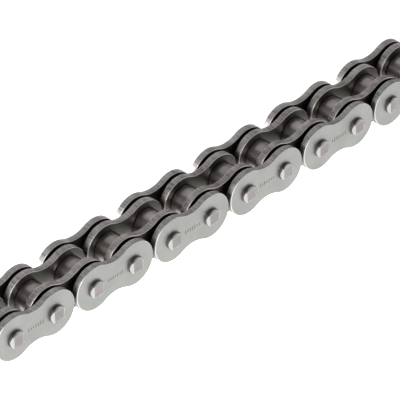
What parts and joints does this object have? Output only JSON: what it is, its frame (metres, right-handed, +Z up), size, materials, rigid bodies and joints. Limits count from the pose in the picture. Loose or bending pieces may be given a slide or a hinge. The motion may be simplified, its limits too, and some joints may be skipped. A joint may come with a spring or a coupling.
{
  "type": "roller chain",
  "caption": "Sealed roller drive chain, a straight open-ended length of alternating roller links and pin links with rubber seal rings, for meshing with sprockets.",
  "frame": {"origin": "centre of the whole strip, midway between its two middle pins and midway between its plates, on the pitch line", "axes": "+X along the strip, +Y across it from the front plates to the rear plates, along the pins, +Z up, square to both"},
  "size_m": [0.2214, 0.021, 0.015],
  "materials": {
    "outer_plate": "satin, blanked from strip and tumbled, shear-streaked edges",
    "inner_plate": "satin, a little darker and browner than the outer plates",
    "roller": "satin, turned",
    "bush": "smooth, ground",
    "pin": "smooth, ground shank with staked heads",
    "seal_ring": "matt black rubber, greased"
  },
  "bodies": {
    "link_01": {"inner_plate_front_01": "inner_plate", "inner_plate_rear_01": "inner_plate", "bush_pair_01": "bush", "seal_rings_01": "seal_ring"},
    "roller_01a": {"roller_01a": "roller"},
    "roller_01b": {"roller_01b": "roller"},
    "link_02": {"outer_plate_front_02": "outer_plate", "outer_plate_rear_02": "outer_plate", "pin_pair_02": "pin"},
    "link_03": {"inner_plate_front_03": "inner_plate", "inner_plate_rear_03": "inner_plate", "bush_pair_03": "bush", "seal_rings_03": "seal_ring"},
    "roller_03a": {"roller_03a": "roller"},
    "roller_03b": {"roller_03b": "roller"},
    "link_04": {"outer_plate_front_04": "outer_plate", "outer_plate_rear_04": "outer_plate", "pin_pair_04": "pin"},
    "link_05": {"inner_plate_front_05": "inner_plate", "inner_plate_rear_05": "inner_plate", "bush_pair_05": "bush", "seal_rings_05": "seal_ring"},
    "roller_05a": {"roller_05a": "roller"},
    "roller_05b": {"roller_05b": "roller"},
    "link_06": {"outer_plate_front_06": "outer_plate", "outer_plate_rear_06": "outer_plate", "pin_pair_06": "pin"},
    "link_07": {"inner_plate_front_07": "inner_plate", "inner_plate_rear_07": "inner_plate", "bush_pair_07": "bush", "seal_rings_07": "seal_ring"},
    "roller_07a": {"roller_07a": "roller"},
    "roller_07b": {"roller_07b": "roller"},
    "link_08": {"outer_plate_front_08": "outer_plate", "outer_plate_rear_08": "outer_plate", "pin_pair_08": "pin"},
    "link_09": {"inner_plate_front_09": "inner_plate", "inner_plate_rear_09": "inner_plate", "bush_pair_09": "bush", "seal_rings_09": "seal_ring"},
    "roller_09a": {"roller_09a": "roller"},
    "roller_09b": {"roller_09b": "roller"},
    "link_10": {"outer_plate_front_10": "outer_plate", "outer_plate_rear_10": "outer_plate", "pin_pair_10": "pin"},
    "link_11": {"inner_plate_front_11": "inner_plate", "inner_plate_rear_11": "inner_plate", "bush_pair_11": "bush", "seal_rings_11": "seal_ring"},
    "roller_11a": {"roller_11a": "roller"},
    "roller_11b": {"roller_11b": "roller"},
    "link_12": {"outer_plate_front_12": "outer_plate", "outer_plate_rear_12": "outer_plate", "pin_pair_12": "pin"},
    "link_13": {"inner_plate_front_13": "inner_plate", "inner_plate_rear_13": "inner_plate", "bush_pair_13": "bush", "seal_rings_13": "seal_ring"},
    "roller_13a": {"roller_13a": "roller"},
    "roller_13b": {"roller_13b": "roller"}
  },
  "joints": [
    {"name": "pin_joint_07_08", "type": "hinge", "parent": "link_07", "child": "link_08", "pos_m": [0.00794, 0, 0], "axis": [0, 1, 0], "range_deg": [-45, 45]},
    {"name": "pin_joint_08_09", "type": "hinge", "parent": "link_08", "child": "link_09", "pos_m": [0.02381, 0, 0], "axis": [0, 1, 0], "range_deg": [-45, 45]},
    {"name": "pin_joint_09_10", "type": "hinge", "parent": "link_09", "child": "link_10", "pos_m": [0.03969, 0, 0], "axis": [0, 1, 0], "range_deg": [-45, 45]},
    {"name": "pin_joint_10_11", "type": "hinge", "parent": "link_10", "child": "link_11", "pos_m": [0.05556, 0, 0], "axis": [0, 1, 0], "range_deg": [-45, 45]},
    {"name": "pin_joint_11_12", "type": "hinge", "parent": "link_11", "child": "link_12", "pos_m": [0.07144, 0, 0], "axis": [0, 1, 0], "range_deg": [-45, 45]},
    {"name": "pin_joint_12_13", "type": "hinge", "parent": "link_12", "child": "link_13", "pos_m": [0.08731, 0, 0], "axis": [0, 1, 0], "range_deg": [-45, 45]},
    {"name": "pin_joint_06_07", "type": "hinge", "parent": "link_07", "child": "link_06", "pos_m": [-0.00794, 0, 0], "axis": [0, 1, 0], "range_deg": [-45, 45]},
    {"name": "pin_joint_05_06", "type": "hinge", "parent": "link_06", "child": "link_05", "pos_m": [-0.02381, 0, 0], "axis": [0, 1, 0], "range_deg": [-45, 45]},
    {"name": "pin_joint_04_05", "type": "hinge", "parent": "link_05", "child": "link_04", "pos_m": [-0.03969, 0, 0], "axis": [0, 1, 0], "range_deg": [-45, 45]},
    {"name": "pin_joint_03_04", "type": "hinge", "parent": "link_04", "child": "link_03", "pos_m": [-0.05556, 0, 0], "axis": [0, 1, 0], "range_deg": [-45, 45]},
    {"name": "pin_joint_02_03", "type": "hinge", "parent": "link_03", "child": "link_02", "pos_m": [-0.07144, 0, 0], "axis": [0, 1, 0], "range_deg": [-45, 45]},
    {"name": "pin_joint_01_02", "type": "hinge", "parent": "link_02", "child": "link_01", "pos_m": [-0.08731, 0, 0], "axis": [0, 1, 0], "range_deg": [-45, 45]},
    {"name": "roller_spin_01a", "type": "hinge", "parent": "link_01", "child": "roller_01a", "pos_m": [-0.10319, 0, 0], "axis": [0, 1, 0], "continuous": true},
    {"name": "roller_spin_01b", "type": "hinge", "parent": "link_01", "child": "roller_01b", "pos_m": [-0.08731, 0, 0], "axis": [0, 1, 0], "continuous": true},
    {"name": "roller_spin_03a", "type": "hinge", "parent": "link_03", "child": "roller_03a", "pos_m": [-0.07144, 0, 0], "axis": [0, 1, 0], "continuous": true},
    {"name": "roller_spin_03b", "type": "hinge", "parent": "link_03", "child": "roller_03b", "pos_m": [-0.05556, 0, 0], "axis": [0, 1, 0], "continuous": true},
    {"name": "roller_spin_05a", "type": "hinge", "parent": "link_05", "child": "roller_05a", "pos_m": [-0.03969, 0, 0], "axis": [0, 1, 0], "continuous": true},
    {"name": "roller_spin_05b", "type": "hinge", "parent": "link_05", "child": "roller_05b", "pos_m": [-0.02381, 0, 0], "axis": [0, 1, 0], "continuous": true},
    {"name": "roller_spin_07a", "type": "hinge", "parent": "link_07", "child": "roller_07a", "pos_m": [-0.00794, 0, 0], "axis": [0, 1, 0], "continuous": true},
    {"name": "roller_spin_07b", "type": "hinge", "parent": "link_07", "child": "roller_07b", "pos_m": [0.00794, 0, 0], "axis": [0, 1, 0], "continuous": true},
    {"name": "roller_spin_09a", "type": "hinge", "parent": "link_09", "child": "roller_09a", "pos_m": [0.02381, 0, 0], "axis": [0, 1, 0], "continuous": true},
    {"name": "roller_spin_09b", "type": "hinge", "parent": "link_09", "child": "roller_09b", "pos_m": [0.03969, 0, 0], "axis": [0, 1, 0], "continuous": true},
    {"name": "roller_spin_11a", "type": "hinge", "parent": "link_11", "child": "roller_11a", "pos_m": [0.05556, 0, 0], "axis": [0, 1, 0], "continuous": true},
    {"name": "roller_spin_11b", "type": "hinge", "parent": "link_11", "child": "roller_11b", "pos_m": [0.07144, 0, 0], "axis": [0, 1, 0], "continuous": true},
    {"name": "roller_spin_13a", "type": "hinge", "parent": "link_13", "child": "roller_13a", "pos_m": [0.08731, 0, 0], "axis": [0, 1, 0], "continuous": true},
    {"name": "roller_spin_13b", "type": "hinge", "parent": "link_13", "child": "roller_13b", "pos_m": [0.10319, 0, 0], "axis": [0, 1, 0], "continuous": true}
  ]
}
